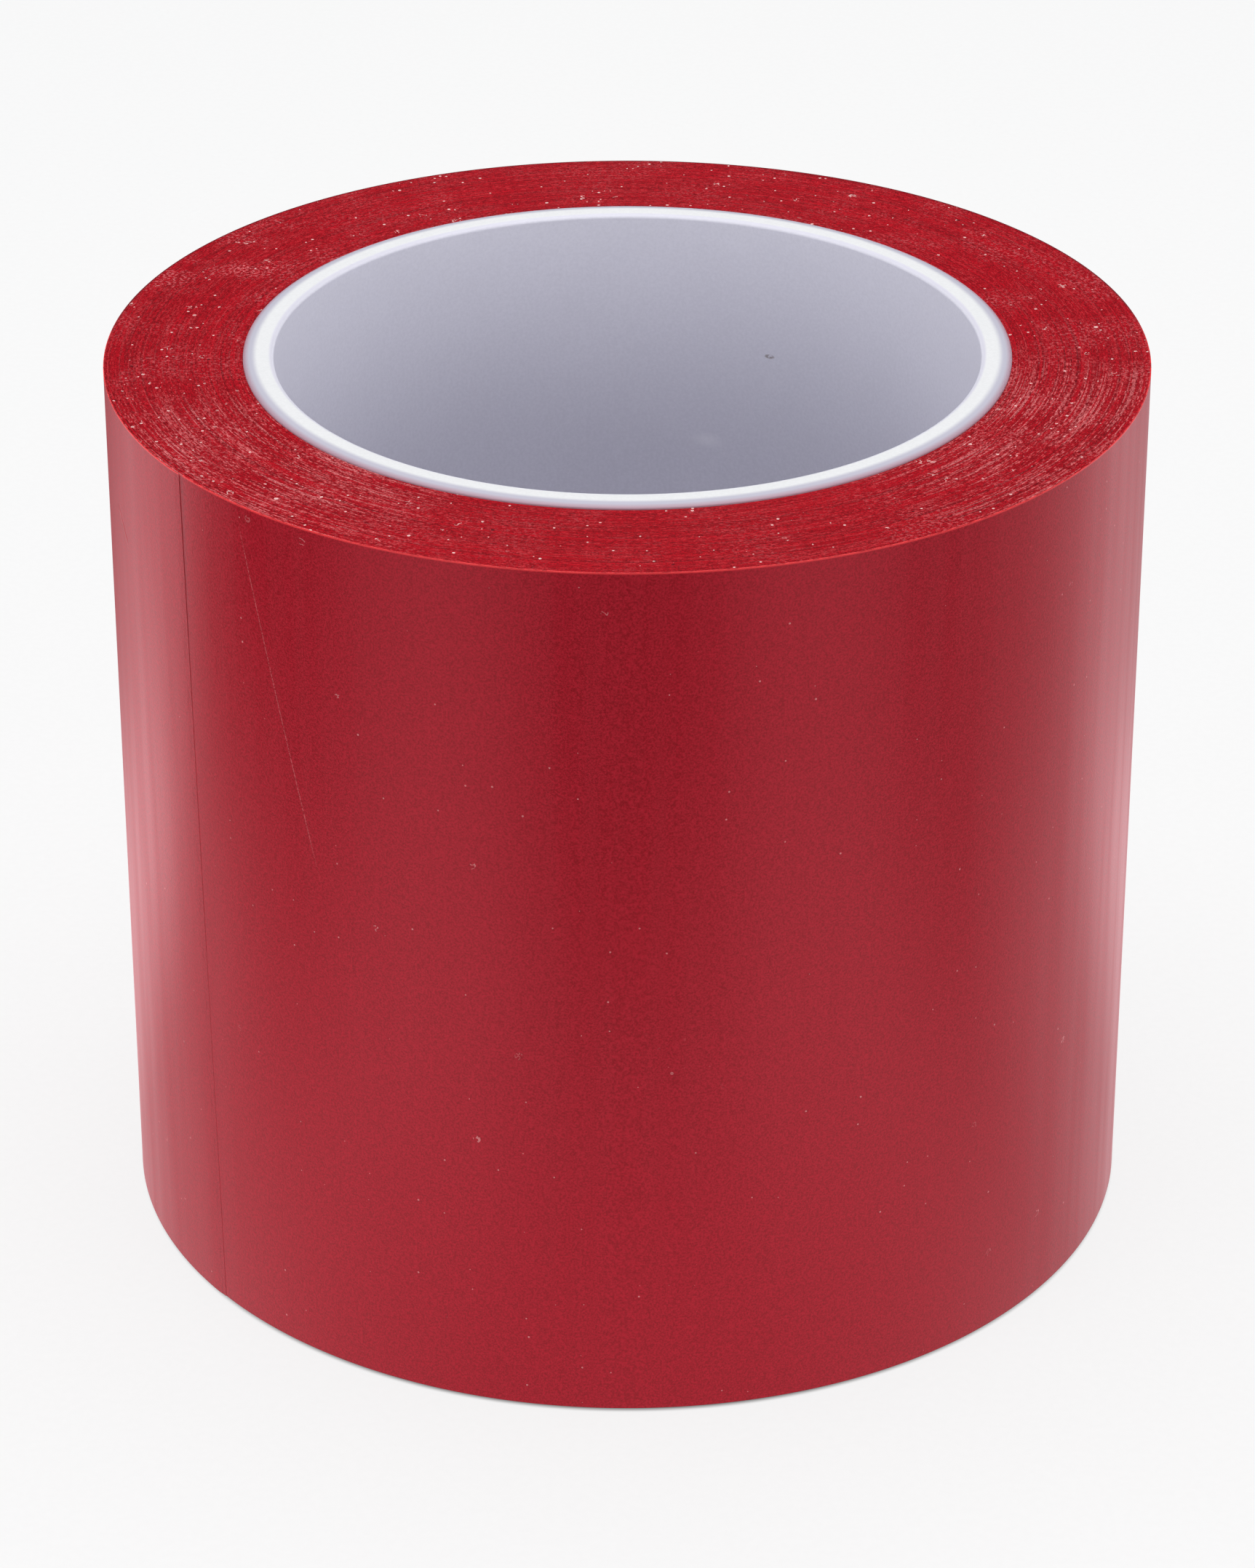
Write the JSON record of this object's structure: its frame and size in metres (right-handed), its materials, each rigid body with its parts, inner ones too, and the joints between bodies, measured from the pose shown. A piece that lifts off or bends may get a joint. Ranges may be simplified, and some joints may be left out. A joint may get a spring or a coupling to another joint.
{
  "type": "adhesive tape roll",
  "caption": "Roll of wide red vinyl film tape wound on a white plastic core, standing on end, with a free tape end that peels off the roll.",
  "frame": {"origin": "centre of the core's lower rim plane, on the surface that the roll stands on", "axes": "+Z along the roll's axis, upwards; -Y is the side seen in front, and the tape's end lies to its left; +X to the right"},
  "size_m": [0.1139, 0.1138, 0.1009],
  "materials": {
    "tape_film": "red vinyl film, semi-gloss, with fine concentric layer edges on the roll's sides",
    "adhesive": "thin clear adhesive coat over the red film, satin and tacky",
    "core_plastic": "white plastic, smooth and matt"
  },
  "bodies": {
    "roll": {"core": "core_plastic", "wound_tape": "tape_film", "last_turn_film": "tape_film", "last_turn_adhesive": "adhesive"},
    "tape_end": {"tape_end_film": "tape_film", "tape_end_adhesive": "adhesive"}
  },
  "joints": [
    {"name": "tape_end_peel", "type": "hinge", "parent": "roll", "child": "tape_end", "pos_m": [-0.05689, 0.00268, 0.05045], "axis": [0, 0, -1], "range_deg": [0, 120]}
  ]
}
